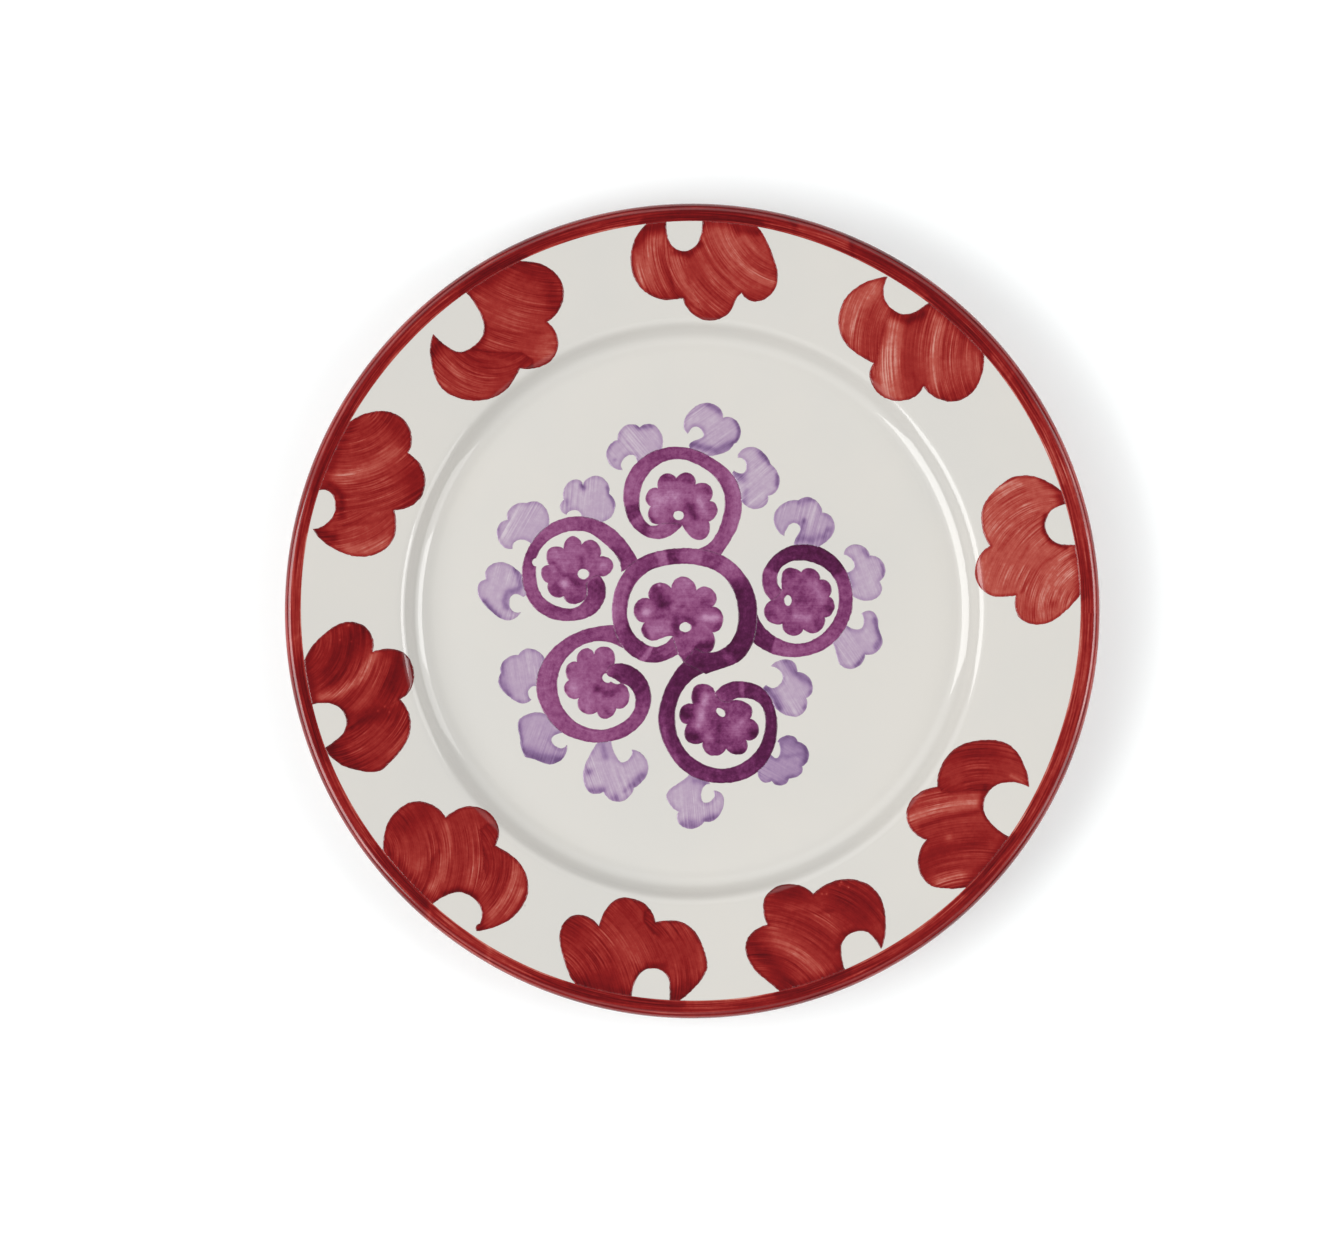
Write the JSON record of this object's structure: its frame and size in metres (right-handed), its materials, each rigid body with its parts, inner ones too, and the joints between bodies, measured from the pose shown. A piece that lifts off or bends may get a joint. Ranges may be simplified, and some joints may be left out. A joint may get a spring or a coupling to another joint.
{
  "type": "painted dinner plate",
  "caption": "Round ceramic dinner plate with a raised sloping rim, flat well and foot ring, white glaze, red lip band and rim leaves, and a purple scroll of flowers with lilac leaves.",
  "frame": {"origin": "centre of the plate, on the plane the foot ring stands on", "axes": "+Z is the turning axis of the plate, pointing up out of the well; +Y is the top of the painted pattern and +X its right"},
  "size_m": [0.27, 0.27, 0.0207],
  "materials": {
    "fired_clay": "matt, bare where the foot ring was wiped",
    "white_glaze": "glossy, slightly warm white",
    "red_brushwork": "glossy brushed colour under the glaze sheen",
    "purple_brushwork": "glossy brushed colour with overlap bands",
    "lilac_brushwork": "glossy thin wash with darker edges"
  },
  "bodies": {
    "root": {"clay_body": "fired_clay", "glaze_face": "white_glaze", "glaze_base": "white_glaze", "rim_band": "red_brushwork", "rim_leaf_01": "red_brushwork", "rim_leaf_02": "red_brushwork", "rim_leaf_03": "red_brushwork", "rim_leaf_04": "red_brushwork", "rim_leaf_05": "red_brushwork", "rim_leaf_06": "red_brushwork", "rim_leaf_07": "red_brushwork", "rim_leaf_08": "red_brushwork", "rim_leaf_09": "red_brushwork", "rim_leaf_10": "red_brushwork", "centre_ring": "purple_brushwork", "centre_flower": "purple_brushwork", "scroll_1": "purple_brushwork", "scroll_2": "purple_brushwork", "scroll_3": "purple_brushwork", "scroll_4": "purple_brushwork", "scroll_5": "purple_brushwork", "scroll_flower_1": "purple_brushwork", "scroll_flower_2": "purple_brushwork", "scroll_flower_3": "purple_brushwork", "scroll_flower_4": "purple_brushwork", "scroll_flower_5": "purple_brushwork", "lilac_leaf_01": "lilac_brushwork", "lilac_leaf_02": "lilac_brushwork", "lilac_leaf_03": "lilac_brushwork", "lilac_leaf_04": "lilac_brushwork", "lilac_leaf_05": "lilac_brushwork", "lilac_leaf_06": "lilac_brushwork", "lilac_leaf_07": "lilac_brushwork", "lilac_leaf_08": "lilac_brushwork", "lilac_leaf_09": "lilac_brushwork", "lilac_leaf_10": "lilac_brushwork", "lilac_leaf_11": "lilac_brushwork", "lilac_leaf_12": "lilac_brushwork", "lilac_leaf_13": "lilac_brushwork", "lilac_leaf_14": "lilac_brushwork", "lilac_leaf_15": "lilac_brushwork"}
  },
  "joints": []
}
